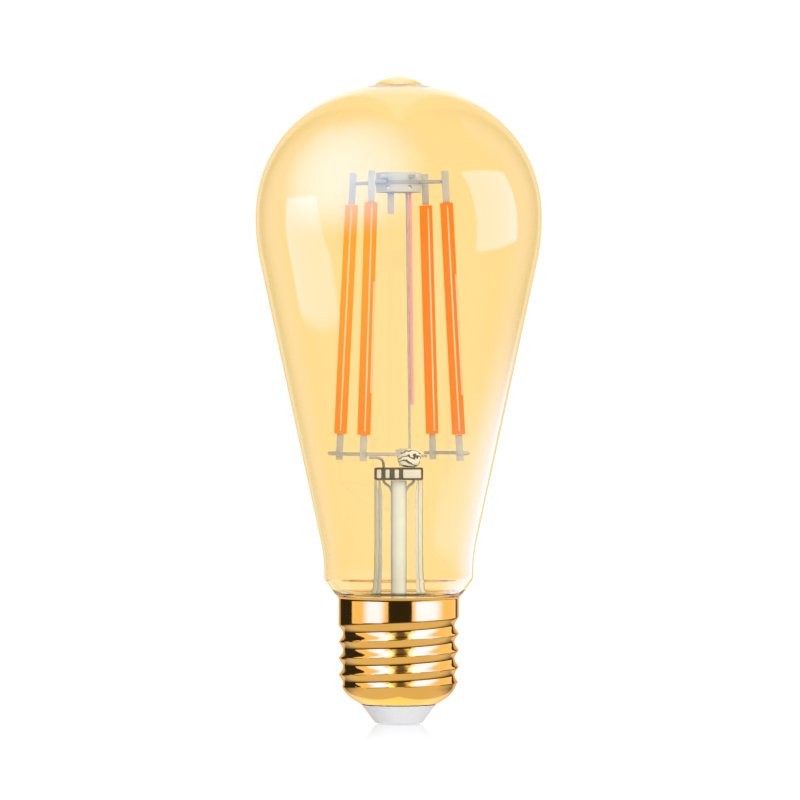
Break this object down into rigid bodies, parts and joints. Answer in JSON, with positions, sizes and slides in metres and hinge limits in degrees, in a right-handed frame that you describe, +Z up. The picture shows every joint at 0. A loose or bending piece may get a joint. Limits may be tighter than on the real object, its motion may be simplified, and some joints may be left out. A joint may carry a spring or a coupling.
{
  "type": "smart light bulb",
  "caption": "Filament light bulb with a radio-controlled driver: amber teardrop glass with a tip on its crown, glowing upright filaments on a wire mount, and a gold screw cap.",
  "frame": {"origin": "centre of the bottom contact, at the lowest point on the bulb's axis", "axes": "+Z runs up the bulb's axis from the contact to the glass crown, -Y is the front, +X is to the right seen from the front"},
  "size_m": [0.063, 0.063, 0.142],
  "materials": {
    "amber_glass": "clear, tinted amber, polished",
    "clear_glass": "clear, fire polished",
    "milk_glass": "milky white glass tube",
    "gold_plate": "bright gold plate, mirror polished",
    "white_plastic": "white moulded insulator",
    "nickel": "nickel-plated, satin",
    "wire_steel": "drawn wire, satin",
    "pink_sleeve": "pink insulating sleeve",
    "phosphor": "silicone with phosphor, glowing orange",
    "chip_row": "row of lit chips",
    "ceramic": "ceramic strip",
    "cement": "capping cement",
    "sleeve_film": "insulating film",
    "board_green": "green solder mask",
    "radio_black": "black solder mask",
    "chip_black": "moulded package",
    "shield_tin": "tinned sheet",
    "can_sleeve": "shrunk sleeve on an aluminium can",
    "ferrite": "ferrite core",
    "fuse_body": "lacquered resistor body",
    "copper": "bare copper",
    "wire_red": "insulated wire",
    "wire_blue": "insulated wire"
  },
  "bodies": {
    "root": {"screw_shell": "gold_plate", "cap_insulator": "white_plastic", "centre_contact": "nickel", "glass_envelope": "amber_glass", "stem_tube": "clear_glass", "stem_press": "clear_glass", "exhaust_tube": "milk_glass", "glass_bead": "clear_glass", "neck_cement": "cement", "lower_arc_left": "wire_steel", "lower_arc_right": "wire_steel", "lead_wire_left": "nickel", "lead_wire_right": "nickel", "mast_wire": "wire_steel", "sleeved_wire": "pink_sleeve", "top_hub": "nickel", "hub_belt": "nickel", "hub_tab": "nickel", "hub_arm_1": "wire_steel", "hub_arm_2": "wire_steel", "hub_arm_3": "wire_steel", "hub_arm_4": "wire_steel", "filament_1_coating": "phosphor", "filament_1_substrate": "ceramic", "filament_1_chips": "chip_row", "filament_1_upper_terminal": "nickel", "filament_1_lower_terminal": "nickel", "filament_2_coating": "phosphor", "filament_2_substrate": "ceramic", "filament_2_chips": "chip_row", "filament_2_upper_terminal": "nickel", "filament_2_lower_terminal": "nickel", "filament_3_coating": "phosphor", "filament_3_substrate": "ceramic", "filament_3_chips": "chip_row", "filament_3_upper_terminal": "nickel", "filament_3_lower_terminal": "nickel", "filament_4_coating": "phosphor", "filament_4_substrate": "ceramic", "filament_4_chips": "chip_row", "filament_4_upper_terminal": "nickel", "filament_4_lower_terminal": "nickel", "driver_board": "board_green", "driver_sleeve": "sleeve_film", "bulk_capacitor": "can_sleeve", "choke_coil": "ferrite", "rectifier": "chip_black", "driver_chip": "chip_black", "fuse_resistor": "fuse_body", "line_wire": "wire_red", "fuse_lead": "copper", "neutral_wire": "wire_blue", "radio_board": "radio_black", "radio_shield": "shield_tin", "radio_antenna": "copper"}
  },
  "joints": []
}
